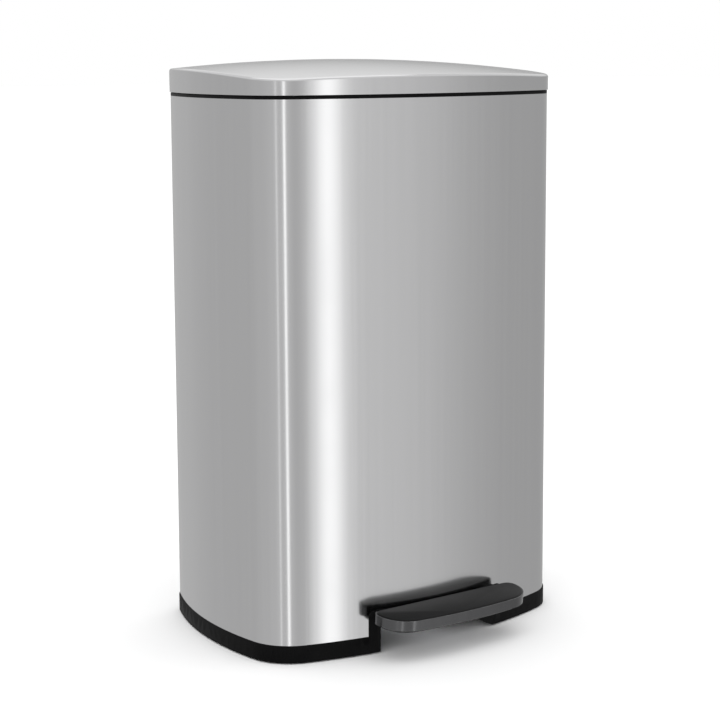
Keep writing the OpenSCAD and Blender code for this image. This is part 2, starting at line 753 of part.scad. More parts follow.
module pedal_lever() {
    w = lever_w / 2;
    color(zinc) difference() {
        union() {
            // Flat head inside the pedal
            pedal_frame()
                block([-head_w / 2, -head_l, pocket_h - pedal_t - lever_t], [head_w / 2, -3, pocket_h - pedal_t]);
            pedal_frame() block([1 - w, -5, pocket_h - pedal_t - lever_t], [w - 1, 4, pocket_h - pedal_t]);
            // Channel from the pedal back to the axle
            channel(front_y - pedal_gap + 1, axle_y, front_y + 5);
            for (s = [-1, 1])
                bar_x(flange_h / 2, s > 0 ? w - lever_t : -w, s > 0 ? w : -w + lever_t, axle_y, axle_z);
            // Channel from the axle back to the push rod, falling to the rear
            translate([0, axle_y, axle_z]) rotate([-lever_half, 0, 0]) translate([0, -axle_y, -axle_z]) {
                channel(axle_y, axle_y + arm - 22, axle_y);
                block([-ear_x - ear_t, axle_y + arm - 30, axle_z + flange_h / 2 - lever_t],
                      [ear_x + ear_t, axle_y + arm - 10, axle_z + flange_h / 2]);
            }
            for (s = [-1, 1]) ear(s);
        }
        bar_x(axle_d / 2 + run_fit, -w - 1, w + 1, axle_y, axle_z);
        slot_cut();
        pedal_frame() for (p = pedal_screw_at) translate([p[0], p[1], -pedal_t])
            cylinder(r = screw_hole, h = pedal_t);
    }
}

// A length of the lever's channel, with its flanges starting at y3
module channel(y1, y2, y3) {
    w = lever_w / 2;
    top = axle_z + flange_h / 2;
    block([-w, y1, top - lever_t], [w, y2, top]);
    for (s = [-1, 1])
        block([s > 0 ? w - lever_t : -w, y3, top - flange_h], [s > 0 ? w : -w + lever_t, y2, top]);
}

module ear(s) {
    x = s > 0 ? ear_x : -ear_x - ear_t;
    link(x, ear_t, crank_y - 26, foot_z + 26 * tan(lever_half), crank_y + 1, foot_z - tan(lever_half), ear_r);
}

module slot_cut() {
    r = foot_pin_r + slot_play;
    link(-ear_x - ear_t - 1, 2 * (ear_x + ear_t + 1), crank_y - slot_run, foot_z + slot_run * tan(lever_half),
         crank_y + 1, foot_z - tan(lever_half), r);
}

function pedal_ring(o, z) = flat(pedal_outline(o), z);

module pedal_core() {
    o = -1.4;
    color(black) pedal_frame() difference() {
        loft([pedal_ring(o - skirt_in, -pedal_t), pedal_ring(o + 1.5 - skirt_in, -pedal_t + 0.6),
              pedal_ring(o - 0.8, -trim_h - 0.6), pedal_ring(o, 1 - trim_h), pedal_ring(o, -6)]);
        block([-head_w / 2 - 1, -head_l - 1, -pedal_t - 1], [head_w / 2 + 1, 5, pocket_h - pedal_t]);
        for (p = pedal_screw_at) translate([p[0], p[1], -pedal_t]) cylinder(r = screw_hole, h = 11);
    }
}

module pedal_pad() {
    o = -1.4;
    color(black) pedal_frame()
        loft([pedal_ring(o, seat_gap / 2 - 6), pedal_ring(o, -1.2),
              pedal_ring(o - 0.5, -0.4), pedal_ring(o - 1.6, 0)]);
}

module pedal_trim() {
    color(steel) pedal_frame() translate([0, 0, -1 - trim_h]) linear_extrude(trim_h) difference() {
        polygon(pedal_outline(0));
        polygon(pedal_outline(-1.2));
        translate([-pedal_w, -1.5]) square([2 * pedal_w, 20]);
    }
}

module pedal_screws() {
    color(zinc) pedal_frame() for (p = pedal_screw_at)
        translate([p[0], p[1], pocket_h - pedal_t - lever_t]) screw(6);
}

// ---- drawing ----
body_shell();
rim_ring();
base();
pedal_surround();
rubber_feet();
inner_bucket();
hinge_housing();
hinge_pin_left();
hinge_pin_right();
damper_barrel();
rod_cover();
rod_grommet();
axle_bracket_left();
axle_bracket_right();
pedal_axle();
axle_clips();
travel_stops();
base_screws();
rim_screws();
housing_screws();
bracket_screws();
lid_shell();
lid_liner();
lid_bracket();
crank_pin();
damper_shaft();
lid_bumpers();
lid_screws();
push_rod();
foot_pin();
foot_pin_clips();
pedal_lever();
pedal_core();
pedal_pad();
pedal_trim();
pedal_screws();
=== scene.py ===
# Looks for the pedal trash can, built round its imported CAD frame
# Metres, +Z up, the pedal faces -Y, the origin is on the floor under the middle
import json
import math

import bmesh
import bpy
from mathutils import Matrix, Vector


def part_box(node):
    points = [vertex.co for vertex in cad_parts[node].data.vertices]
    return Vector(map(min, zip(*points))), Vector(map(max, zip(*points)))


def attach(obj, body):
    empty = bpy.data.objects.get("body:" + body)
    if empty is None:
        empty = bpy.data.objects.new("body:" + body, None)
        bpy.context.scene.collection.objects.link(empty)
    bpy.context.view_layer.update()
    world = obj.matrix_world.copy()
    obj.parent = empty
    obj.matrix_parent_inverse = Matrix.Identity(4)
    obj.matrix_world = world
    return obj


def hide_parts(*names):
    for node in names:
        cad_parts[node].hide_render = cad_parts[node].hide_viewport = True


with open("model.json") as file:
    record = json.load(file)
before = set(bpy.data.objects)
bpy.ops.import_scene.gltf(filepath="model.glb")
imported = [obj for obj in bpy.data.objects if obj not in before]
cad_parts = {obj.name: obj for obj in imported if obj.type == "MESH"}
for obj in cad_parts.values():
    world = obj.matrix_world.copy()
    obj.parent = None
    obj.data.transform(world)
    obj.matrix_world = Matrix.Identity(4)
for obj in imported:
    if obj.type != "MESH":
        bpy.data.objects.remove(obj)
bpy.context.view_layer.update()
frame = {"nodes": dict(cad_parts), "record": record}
nodes = frame["nodes"]
print("frame loaded:", len(nodes), "nodes")


# plan outline shared by the body, the rim and the lid
plan = {
    "frontBow": 0.0395,
    "sideRadius": 0.387,
    "sidePeak": 0.030,
    "frontCorner": 0.054,
    "backCorner": 0.026,
    "frontSteps": 22,
    "cornerSteps": 20,
    "sideSteps": 22,
    "backSteps": 12,
}
bodyLow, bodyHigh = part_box("body_shell")
halfWidth = bodyHigh.x
frontY = bodyLow.y
backY = bodyHigh.y
midY = (frontY + backY) / 2
halfDepth = (backY - frontY) / 2

mouthPlay = 0.0002     # between the opening's frame and the sheet
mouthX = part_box("pedal_surround")[1].x + mouthPlay    # half width of the notch for the pedal
mouthTop = 0.0482
mouthRound = 0.006
crankX = 0.010         # half width of the slot for the crank
lugX = 0.062           # half width of the notch for the hinge lugs
weld = 0.000005        # points closer than this become one


def meetCircles(a, ra, b, rb):
    gap = (b - a).length
    way = (b - a) / gap
    along = (ra * ra - rb * rb + gap * gap) / (2 * gap)
    return a + way * along + Vector((-way.y, way.x)) * math.sqrt(ra * ra - along * along)


def bearing(a, b):
    return math.atan2(b.y - a.y, b.x - a.x)


frontRadius = halfWidth ** 2 / (2 * plan["frontBow"]) + plan["frontBow"] / 2
frontCentre = Vector((0, frontY + frontRadius))
sideCentre = Vector((halfWidth - plan["sideRadius"], midY - plan["sidePeak"]))
cornerCentre = meetCircles(frontCentre, frontRadius - plan["frontCorner"],
                           sideCentre, plan["sideRadius"] - plan["frontCorner"])
frontTurn = bearing(frontCentre, cornerCentre)
sideTurn = bearing(sideCentre, cornerCentre)
backReach = plan["sideRadius"] - plan["backCorner"]
backCentreY = backY - plan["backCorner"]
backOut = math.sqrt(backReach ** 2 - (backCentreY - sideCentre.y) ** 2)
backCentre = Vector((sideCentre.x + backOut, backCentreY))
backTurn = bearing(sideCentre, backCentre)


def frontBearing(x):
    return -math.pi / 2 + math.asin(x / frontRadius)


def tipOf(result):
    return [item for item in result["geom_last"] if isinstance(item, bmesh.types.BMVert)]


def planLoop(bm, grow, z):
    # half the outline is spun from the middle of the front, run straight along the back, then mirrored
    before = set(bm.verts)
    tip = bmesh.ops.create_vert(bm, co=(0, frontY - grow, z))["vert"]
    inner = frontBearing(mouthX - mouthRound)
    outer = frontBearing(mouthX)
    turns = [
        (frontCentre, -math.pi / 2, inner, plan["frontSteps"] // 2),
        (frontCentre, inner, outer, 1),
        (frontCentre, outer, frontTurn, plan["frontSteps"] // 2),
        (cornerCentre, frontTurn, sideTurn, plan["cornerSteps"]),
        (sideCentre, sideTurn, backTurn, plan["sideSteps"]),
        (backCentre, backTurn, math.pi / 2, plan["backSteps"]),
    ]
    for centre, start, end, steps in turns:
        tip = tipOf(bmesh.ops.spin(bm, geom=tip, cent=(centre.x, centre.y, z), axis=(0, 0, 1),
                                   dvec=(0, 0, 0), angle=end - start, steps=steps, use_duplicate=False))
    for x in (lugX, crankX, 0):
        tip = bmesh.ops.extrude_vert_indiv(bm, verts=tip)["verts"]
        tip[0].co.x = x
    half = [v for v in bm.verts if v not in before]
    edges = list({e for v in half for e in v.link_edges})
    bmesh.ops.mirror(bm, geom=half + edges, matrix=Matrix.Identity(4), merge_dist=2 * weld, axis='X')
    new = [v for v in bm.verts if v not in before]
    return list({e for v in new for e in v.link_edges})


def loopVerts(edges):
    return list({v for e in edges for v in e.verts})


def bridge(bm, loopA, loopB):
    bmesh.ops.bridge_loops(bm, edges=loopA + loopB)


def stackLoops(bm, loops, closed=False):
    for below, above in zip(loops, loops[1:]):
        bridge(bm, below, above)
    if closed:
        bridge(bm, loops[-1], loops[0])


def planWall(bm, profile, closed=True):
    stackLoops(bm, [planLoop(bm, grow, z) for grow, z in profile], closed)


def dropFaces(bm, test):
    gone = [f for f in bm.faces if test(f.calc_center_median())]
    bmesh.ops.delete(bm, geom=gone, context='FACES')


def closeEnds(bm):
    # flat ends where a wall is cut through, one side at a time
    for sign in (-1, 1):
        ends = [e for e in bm.edges if e.is_boundary and sign * e.verts[0].co.x > 0]
        bmesh.ops.edgeloop_fill(bm, edges=ends)


def tidyNormals(bm):
    bmesh.ops.remove_doubles(bm, verts=bm.verts, dist=weld)
    bmesh.ops.recalc_face_normals(bm, faces=bm.faces)


def softEdges(obj, degrees=30):
    for face in obj.data.polygons:
        face.use_smooth = True
    obj.data.set_sharp_from_angle(angle=math.radians(degrees))


def addPiece(name, bm, body, material, replaced=(), smooth=30):
    mesh = bpy.data.meshes.new(name)
    bm.to_mesh(mesh)
    bm.free()
    piece = bpy.data.objects.new(name, mesh)
    bpy.context.scene.collection.objects.link(piece)
    mesh.materials.append(material)
    softEdges(piece, smooth)
    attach(piece, body)
    if replaced:
        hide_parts(*replaced)
    return piece


def thicken(bm, thickness):
    # the skin stays where it is and the inside face is added behind it
    bmesh.ops.solidify(bm, geom=bm.faces[:], thickness=thickness)
    bmesh.ops.recalc_face_normals(bm, faces=bm.faces)


# shader groups
def newGroup(name, inputs, outputs):
    group = bpy.data.node_groups.new(name, 'ShaderNodeTree')
    for label, kind, value in inputs:
        socket = group.interface.new_socket(label, in_out='INPUT', socket_type=kind)
        if value is not None:
            socket.default_value = value
    for label, kind in outputs:
        group.interface.new_socket(label, in_out='OUTPUT', socket_type=kind)
    return group


def addNode(tree, kind, at=(0, 0), **settings):
    made = tree.nodes.new(kind)
    made.location = at
    for key, value in settings.items():
        setattr(made, key, value)
    return made


def link(tree, start, end):
    tree.links.new(start, end)


def mathNode(tree, operation, first, second, at=(0, 0), clamp=False):
    made = addNode(tree, 'ShaderNodeMath', at, operation=operation, use_clamp=clamp)
    for socket, value in zip(made.inputs, (first, second)):
        if isinstance(value, (int, float)):
            socket.default_value = value
        elif value is not None:
            link(tree, value, socket)
    return made.outputs[0]


def mixColour(tree, factor, first, second, at=(0, 0), blend='MIX'):
    made = addNode(tree, 'ShaderNodeMix', at, data_type='RGBA', blend_type=blend)
    for socket, value in ((made.inputs[0], factor), (made.inputs[6], first), (made.inputs[7], second)):
        if hasattr(value, "links"):
            link(tree, value, socket)
        else:
            socket.default_value = value
    return made.outputs[2]


def noiseNode(tree, vector, scale, detail, rough=0.5, at=(0, 0)):
    made = addNode(tree, 'ShaderNodeTexNoise', at)
    made.inputs["Scale"].default_value = scale
    made.inputs["Detail"].default_value = detail
    made.inputs["Roughness"].default_value = rough
    link(tree, vector, made.inputs["Vector"])
    return made.outputs["Fac"]


def spread(tree, value, low, high, newLow, newHigh, at=(0, 0)):
    made = addNode(tree, 'ShaderNodeMapRange', at)
    for socket, number in zip(made.inputs[1:5], (low, high, newLow, newHigh)):
        if hasattr(number, "links"):
            link(tree, number, socket)
        else:
            socket.default_value = number
    link(tree, value, made.inputs[0])
    return made.outputs[0]


def stretched(tree, vector, scale, at=(0, 0)):
    made = addNode(tree, 'ShaderNodeMapping', at)
    made.inputs["Scale"].default_value = scale
    link(tree, vector, made.inputs["Vector"])
    return made.outputs["Vector"]


# fine brushing that runs straight up the walls and front to back on flat tops
def makeBrushing():
    group = newGroup("brushed grain",
                     [("Fineness", 'NodeSocketFloat', 1.0), ("Depth", 'NodeSocketFloat', 1.0)],
                     [("Height", 'NodeSocketFloat'), ("Streaks", 'NodeSocketFloat')])
    start = addNode(group, 'NodeGroupInput', (-1200, 0))
    coords = addNode(group, 'ShaderNodeTexCoord', (-1200, -200))
    fine = addNode(group, 'ShaderNodeVectorMath', (-1000, -100), operation='SCALE')
    link(group, coords.outputs["Object"], fine.inputs[0])
    link(group, start.outputs["Fineness"], fine.inputs["Scale"])
    facing = addNode(group, 'ShaderNodeSeparateXYZ', (-800, -700))
    link(group, coords.outputs["Normal"], facing.inputs[0])
    flatness = mathNode(group, 'ABSOLUTE', facing.outputs[2], None, (-600, -700))
    flat = spread(group, flatness, 0.55, 0.85, 0, 1, (-400, -700))
    layers = []
    for across, along, share, y in ((1900, 3, 0.55, 100), (150, 1.2, 0.45, -300)):
        grains = []
        for scale, down in (((across, across, along), 0), ((across, along, along), 200)):
            drawn = stretched(group, fine.outputs[0], scale, (-800, y - down))
            grains.append(noiseNode(group, drawn, 1, 3, 0.6, (-600, y - down)))
        turned = addNode(group, 'ShaderNodeMix', (-300, y), data_type='FLOAT')
        link(group, flat, turned.inputs[0])
        link(group, grains[0], turned.inputs[2])
        link(group, grains[1], turned.inputs[3])
        layers.append(mathNode(group, 'MULTIPLY', turned.outputs[0], share, (-100, y)))
    both = mathNode(group, 'ADD', layers[0], layers[1], (100, 0))
    end = addNode(group, 'NodeGroupOutput', (500, 0))
    link(group, mathNode(group, 'MULTIPLY', both, start.outputs["Depth"], (300, 100)), end.inputs["Height"])
    link(group, both, end.inputs["Streaks"])
    return group


# hand marks and light cloudiness
def makeSmudges():
    group = newGroup("smudges", [("Size", 'NodeSocketFloat', 9.0), ("Amount", 'NodeSocketFloat', 0.5)],
                     [("Mask", 'NodeSocketFloat')])
    start = addNode(group, 'NodeGroupInput', (-900, 0))
    coords = addNode(group, 'ShaderNodeTexCoord', (-900, -200))
    sized = addNode(group, 'ShaderNodeVectorMath', (-700, 0), operation='SCALE')
    link(group, coords.outputs["Object"], sized.inputs[0])
    link(group, start.outputs["Size"], sized.inputs["Scale"])
    cloud = noiseNode(group, sized.outputs[0], 1, 4, 0.55, (-500, 0))
    patch = spread(group, cloud, 0.42, 0.68, 0, 1, (-300, 0))
    end = addNode(group, 'NodeGroupOutput', (100, 0))
    link(group, mathNode(group, 'MULTIPLY', patch, start.outputs["Amount"], (-100, 0)), end.inputs["Mask"])
    return group


# bright or pale wear that gathers on outside edges
def makeEdgeWear():
    group = newGroup("edge wear",
                     [("Radius", 'NodeSocketFloat', 0.001), ("Amount", 'NodeSocketFloat', 0.5)],
                     [("Mask", 'NodeSocketFloat')])
    start = addNode(group, 'NodeGroupInput', (-1100, 0))
    soft = addNode(group, 'ShaderNodeBevel', (-900, 100), samples=4)
    link(group, start.outputs["Radius"], soft.inputs["Radius"])
    shape = addNode(group, 'ShaderNodeNewGeometry', (-900, -100))
    turned = addNode(group, 'ShaderNodeVectorMath', (-700, 0), operation='DOT_PRODUCT')
    link(group, soft.outputs[0], turned.inputs[0])
    link(group, shape.outputs["Normal"], turned.inputs[1])
    rim = spread(group, turned.outputs["Value"], 0.995, 0.86, 0, 1, (-500, 0))
    coords = addNode(group, 'ShaderNodeTexCoord', (-900, -300))
    broken = spread(group, noiseNode(group, coords.outputs["Object"], 140, 3, 0.6, (-500, -300)),
                    0.4, 0.65, 0, 1, (-300, -300))
    worn = mathNode(group, 'MULTIPLY', rim, broken, (-100, 0))
    end = addNode(group, 'NodeGroupOutput', (300, 0))
    link(group, mathNode(group, 'MULTIPLY', worn, start.outputs["Amount"], (100, 0)), end.inputs["Mask"])
    return group


# pebbled skin of a moulded plastic piece
def makeMouldGrain():
    group = newGroup("moulded grain", [("Scale", 'NodeSocketFloat', 900.0)],
                     [("Height", 'NodeSocketFloat'), ("Speckle", 'NodeSocketFloat')])
    start = addNode(group, 'NodeGroupInput', (-900, 0))
    coords = addNode(group, 'ShaderNodeTexCoord', (-900, -200))
    sized = addNode(group, 'ShaderNodeVectorMath', (-700, 0), operation='SCALE')
    link(group, coords.outputs["Object"], sized.inputs[0])
    link(group, start.outputs["Scale"], sized.inputs["Scale"])
    pebble = addNode(group, 'ShaderNodeTexVoronoi', (-500, 100), feature='SMOOTH_F1')
    link(group, sized.outputs[0], pebble.inputs["Vector"])
    pebble.inputs["Scale"].default_value = 1
    pebble.inputs["Smoothness"].default_value = 0.7
    fine = noiseNode(group, sized.outputs[0], 2.4, 2, 0.5, (-500, -150))
    end = addNode(group, 'NodeGroupOutput', (100, 0))
    dents = mathNode(group, 'MULTIPLY', pebble.outputs["Distance"], -0.7, (-300, 100))
    grit = mathNode(group, 'MULTIPLY', fine, 0.4, (-300, -100))
    link(group, mathNode(group, 'ADD', dents, grit, (-100, 0)), end.inputs["Height"])
    link(group, fine, end.inputs["Speckle"])
    return group


brushing = makeBrushing()
smudges = makeSmudges()
edgeWear = makeEdgeWear()
mouldGrain = makeMouldGrain()
print("shader groups made")


def placeGroup(tree, group, at, **values):
    made = addNode(tree, 'ShaderNodeGroup', at, node_tree=group)
    for key, value in values.items():
        made.inputs[key].default_value = value
    return made


def newMaterial(name):
    material = bpy.data.materials.new(name)
    material.use_nodes = True
    tree = material.node_tree
    return material, tree, tree.nodes["Principled BSDF"]


def addBump(tree, shader, height, distance, strength, at=(-250, -400)):
    bump = addNode(tree, 'ShaderNodeBump', at)
    bump.inputs["Strength"].default_value = strength
    bump.inputs["Distance"].default_value = distance
    link(tree, height, bump.inputs["Height"])
    link(tree, bump.outputs[0], shader.inputs["Normal"])


def addMarks(tree, look):
    marks = placeGroup(tree, smudges, (-900, -250), Size=look["smudgeSize"], Amount=look["smudges"])
    wear = placeGroup(tree, edgeWear, (-900, -500), Radius=look["edge"], Amount=look["wear"])
    return marks.outputs["Mask"], wear.outputs["Mask"]


# roughness follows the pattern and rises where the surface is handled
def setRoughness(tree, shader, look, pattern, marks, low, high, byMarks):
    rough = spread(tree, pattern, low, high, look["roughLow"], look["roughHigh"], (-600, -150))
    handled = mathNode(tree, 'MULTIPLY', marks, byMarks, (-600, -350))
    link(tree, mathNode(tree, 'ADD', rough, handled, (-400, -200)), shader.inputs["Roughness"])


def steelMaterial(name, look):
    material, tree, shader = newMaterial(name)
    shader.inputs["Metallic"].default_value = 1
    grain = placeGroup(tree, brushing, (-900, 0), Fineness=look["fineness"])
    marks, wear = addMarks(tree, look)
    streaks = grain.outputs["Streaks"]
    colour = mixColour(tree, streaks, (*look["dark"], 1), (*look["light"], 1), (-600, 100))
    colour = mixColour(tree, wear, colour, (*look["worn"], 1), (-400, 100))
    link(tree, colour, shader.inputs["Base Color"])
    setRoughness(tree, shader, look, streaks, marks, 0.3, 0.7, 0.1)
    addBump(tree, shader, grain.outputs["Height"], look["bumpDistance"], look["bumpStrength"])
    return material


def plasticMaterial(name, look):
    material, tree, shader = newMaterial(name)
    shader.inputs["Specular IOR Level"].default_value = look["specular"]
    grain = placeGroup(tree, mouldGrain, (-900, 0), Scale=look["grain"])
    marks, wear = addMarks(tree, look)
    speckle = grain.outputs["Speckle"]
    colour = mixColour(tree, speckle, (*look["dark"], 1), (*look["light"], 1), (-600, 100))
    colour = mixColour(tree, marks, colour, (*look["dust"], 1), (-450, 50))
    colour = mixColour(tree, wear, colour, (*look["worn"], 1), (-300, 100))
    link(tree, colour, shader.inputs["Base Color"])
    setRoughness(tree, shader, look, speckle, marks, 0.3, 0.7, 0.12)
    addBump(tree, shader, grain.outputs["Height"], look["bumpDistance"], look["bumpStrength"])
    return material


def zincMaterial(name, look):
    material, tree, shader = newMaterial(name)
    shader.inputs["Metallic"].default_value = 1
    coords = addNode(tree, 'ShaderNodeTexCoord', (-1200, 0))
    spangle = addNode(tree, 'ShaderNodeTexVoronoi', (-1000, 100), feature='F1')
    spangle.inputs["Scale"].default_value = look["spangle"]
    link(tree, coords.outputs["Object"], spangle.inputs["Vector"])
    tone = addNode(tree, 'ShaderNodeSeparateColor', (-800, 100))
    link(tree, spangle.outputs["Color"], tone.inputs[0])
    marks, wear = addMarks(tree, look)
    colour = mixColour(tree, tone.outputs[0], (*look["dark"], 1), (*look["light"], 1), (-600, 100))
    colour = mixColour(tree, wear, colour, (*look["worn"], 1), (-400, 100))
    link(tree, colour, shader.inputs["Base Color"])
    setRoughness(tree, shader, look, tone.outputs[1], marks, 0, 1, 0.15)
    drawn = stretched(tree, coords.outputs["Object"], (40, 900, 900), (-1000, -700))
    scratch = noiseNode(tree, drawn, 1, 3, 0.6, (-800, -700))
    addBump(tree, shader, scratch, look["bumpDistance"], look["bumpStrength"])
    return material


bodySteel = {
    "dark": (0.43, 0.43, 0.433), "light": (0.49, 0.49, 0.493), "worn": (0.60, 0.60, 0.60),
    "roughLow": 0.11, "roughHigh": 0.16, "fineness": 1.0,
    "smudgeSize": 9.0, "smudges": 0.15, "edge": 0.0006, "wear": 0.25,
    "bumpDistance": 0.000004, "bumpStrength": 0.1,
}
pedalSteel = dict(bodySteel, dark=(0.07, 0.07, 0.072), light=(0.11, 0.11, 0.112),
                  roughLow=0.14, roughHigh=0.22, smudges=0.5, wear=0.4)
blackPlastic = {
    "dark": (0.002, 0.002, 0.0021), "light": (0.004, 0.004, 0.0042), "dust": (0.007, 0.007, 0.007),
    "worn": (0.014, 0.014, 0.014), "roughLow": 0.38, "roughHigh": 0.5, "specular": 0.04,
    "grain": 1100.0, "smudgeSize": 14.0, "smudges": 0.4, "edge": 0.0008, "wear": 0.5,
    "bumpDistance": 0.00006, "bumpStrength": 0.3,
}
pedalPlastic = dict(blackPlastic, dark=(0.003, 0.003, 0.0031), light=(0.006, 0.006, 0.0062),
                    roughLow=0.3, roughHigh=0.4, specular=0.1, grain=800.0, smudges=0.6)
greyPlastic = {
    "dark": (0.10, 0.10, 0.105), "light": (0.13, 0.13, 0.135), "dust": (0.18, 0.18, 0.175),
    "worn": (0.24, 0.24, 0.24), "roughLow": 0.42, "roughHigh": 0.55, "specular": 0.5, "grain": 700.0,
    "smudgeSize": 7.0, "smudges": 0.35, "edge": 0.001, "wear": 0.35,
    "bumpDistance": 0.00008, "bumpStrength": 0.3,
}
footRubber = dict(blackPlastic, dark=(0.008, 0.008, 0.008), light=(0.014, 0.014, 0.014),
                  roughLow=0.7, roughHigh=0.85, specular=0.3, grain=1600.0, wear=0.2)
zincSteel = {
    "dark": (0.42, 0.43, 0.45), "light": (0.58, 0.58, 0.59), "worn": (0.7, 0.7, 0.7),
    "spangle": 160.0, "roughLow": 0.28, "roughHigh": 0.42,
    "smudgeSize": 20.0, "smudges": 0.5, "edge": 0.0005, "wear": 0.5,
    "bumpDistance": 0.00002, "bumpStrength": 0.3,
}
materials = {
    "brushed_steel": steelMaterial("body steel", bodySteel),
    "lid_steel": steelMaterial("lid steel", bodySteel),
    "pedal_steel": steelMaterial("pedal band steel", pedalSteel),
    "black_plastic": plasticMaterial("black moulding", blackPlastic),
    "pedal_plastic": plasticMaterial("pedal tread", pedalPlastic),
    "grey_plastic": plasticMaterial("grey moulding", greyPlastic),
    "rubber": plasticMaterial("foot rubber", footRubber),
    "zinc_steel": zincMaterial("zinc plate", zincSteel),
}
print("materials made")


# every carried node takes its slot's finish
for part in frame["record"]["subparts"]:
    mesh = nodes[part["node"]].data
    for i in range(len(mesh.materials)):
        mesh.materials[i] = materials[part["material_slot"]]


# steel body
body = {"thickness": 0.0006, "slotLow": 0.592, "plainFrom": 0.07, "roundSteps": 4}


def roundNotch(bm, sign):
    # rounds a top corner of the opening with a few short cuts
    middle = Vector((sign * (mouthX - mouthRound), mouthTop - mouthRound))
    faces = set()
    for f in bm.faces:
        c = f.calc_center_median()
        if c.y < midY and middle.y < c.z < mouthTop and abs(middle.x) < sign * c.x < mouthX:
            faces.add(f)
    step = math.pi / 2 / body["roundSteps"]
    cuts = []
    for i in range(body["roundSteps"]):
        start, half = step * i, step * (i + 0.5)
        onRound = middle + mouthRound * Vector((sign * math.cos(start), math.sin(start)))
        place = Vector((onRound.x, 0, onRound.y))
        out = Vector((sign * math.cos(half), 0, math.sin(half)))
        around = {v for f in faces for v in f.verts} | {e for f in faces for e in f.edges}
        result = bmesh.ops.bisect_plane(bm, geom=list(faces | around), dist=weld / 5,
                                        plane_co=place, plane_no=out)
        faces |= {g for g in result["geom"] if isinstance(g, bmesh.types.BMFace)}
        cuts.append((place, out))
    inside = []
    for f in faces:
        c = f.calc_center_median()
        if all((Vector((c.x, 0, c.z)) - place).dot(out) < 0 for place, out in cuts):
            inside.append(f)
    bmesh.ops.delete(bm, geom=inside, context='FACES')


def makeBody():
    bm = bmesh.new()
    low, high = bodyLow.z, bodyHigh.z
    heights = [low, mouthTop - mouthRound, mouthTop, body["plainFrom"], body["slotLow"], high]
    planWall(bm, [(0, z) for z in heights], closed=False)
    tidyNormals(bm)
    dropFaces(bm, lambda c: c.y < midY and abs(c.x) < mouthX - mouthRound and c.z < mouthTop)
    dropFaces(bm, lambda c: c.y < midY and abs(c.x) < mouthX and c.z < mouthTop - mouthRound)
    for sign in (-1, 1):
        roundNotch(bm, sign)
    dropFaces(bm, lambda c: c.y > midY and abs(c.x) < crankX and c.z > body["slotLow"])
    thicken(bm, body["thickness"])
    steel = materials["brushed_steel"]
    return addPiece("steel_body", bm, "root", steel, ["body_shell"])


makeBody()
print("steel body made")


# lid: a domed pressing with a rounded upper edge and a plain lower one
lid = {
    "over": 0.0011, "thickness": 0.0007, "height": 0.0348, "fall": 0.0116,
    "crownAcross": 0.0103, "crownAlong": 0.0085, "edge": 0.0028, "edgeSteps": 7, "hold": 0.0004,
    "hem": 0.004, "notchTop": 0.618, "notchDeep": 0.008,
    "shrink": (0.97, 0.92, 0.85, 0.76, 0.66, 0.54, 0.41, 0.27, 0.13),
}
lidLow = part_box("lid_shell")[0].z


def lidTop(x, y):
    u = x / halfWidth
    v = (y - midY) / halfDepth
    crown = lid["crownAcross"] * u * u + lid["crownAlong"] * v * v
    return lidLow + lid["height"] + lid["fall"] / 2 * v - crown


def domeLoop(bm, grow, drop, shrink=1):
    edges = planLoop(bm, grow, 0)
    verts = loopVerts(edges)
    bmesh.ops.scale(bm, verts=verts, vec=(shrink, shrink, 1), space=Matrix.Translation((0, -midY, 0)))
    for v in verts:
        v.co.z = lidTop(v.co.x, v.co.y) - drop
    return edges


def makeLid():
    bm = bmesh.new()
    over, edge = lid["over"], lid["edge"]
    loops = [planLoop(bm, over, z) for z in (lidLow, lidLow + lid["hem"], lid["notchTop"])]
    loops.append(domeLoop(bm, over, edge + lid["hold"]))
    for i in range(lid["edgeSteps"] + 1):
        turn = math.pi / 2 * i / lid["edgeSteps"]
        loops.append(domeLoop(bm, over - edge * (1 - math.cos(turn)), edge * (1 - math.sin(turn))))
    loops.append(domeLoop(bm, over - edge - lid["hold"], 0))
    for shrink in lid["shrink"]:
        loops.append(domeLoop(bm, over - edge, 0, shrink))
    stackLoops(bm, loops)
    bmesh.ops.edgeloop_fill(bm, edges=loops[-1])
    crown = bmesh.ops.poke(bm, faces=[f for f in bm.faces if len(f.verts) > 4])["verts"]
    for v in crown:
        v.co.z = lidTop(v.co.x, v.co.y)
    tidyNormals(bm)
    notchFrom = backY - lid["notchDeep"]
    dropFaces(bm, lambda c: c.y > notchFrom and abs(c.x) < lugX and c.z < lid["notchTop"])
    thicken(bm, lid["thickness"])
    return addPiece("lid_dome", bm, "lid", materials["lid_steel"], ["lid_shell"])


makeLid()
print("lid made")


# black rim between body and lid
# rise keeps neighbouring loops off one plane, so that they bridge the right way round
rim = {"width": 0.009, "deep": 0.024, "skirt": 0.008, "gap": 0.0008, "wall": 0.002, "lip": 0.0004,
       "rise": 0.0003}


def makeRim():
    bm = bmesh.new()
    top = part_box("rim_ring")[1].z
    low = bodyHigh.z
    lip, rise = rim["lip"], rim["rise"]
    inner = -rim["width"]
    skirt, plug = inner + rim["wall"], -rim["gap"] - rim["wall"]
    skirtLow, plugLow = low - rim["skirt"], low - rim["deep"]
    planWall(bm, [
        (-lip, low), (0, low + lip), (0, top - lip), (-lip, top),
        (inner + lip, top - rise), (inner, top - lip - rise),
        (inner, skirtLow), (skirt, skirtLow - rise), (skirt, low),
        (plug, low + rise), (plug, plugLow), (-rim["gap"], plugLow - rise), (-rim["gap"], low + rise),
    ])
    tidyNormals(bm)
    dropFaces(bm, lambda c: c.y > midY and abs(c.x) < crankX)
    closeEnds(bm)
    tidyNormals(bm)
    black = materials["black_plastic"]
    return addPiece("rim_band", bm, "root", black, ["rim_ring"])


makeRim()
print("rim made")


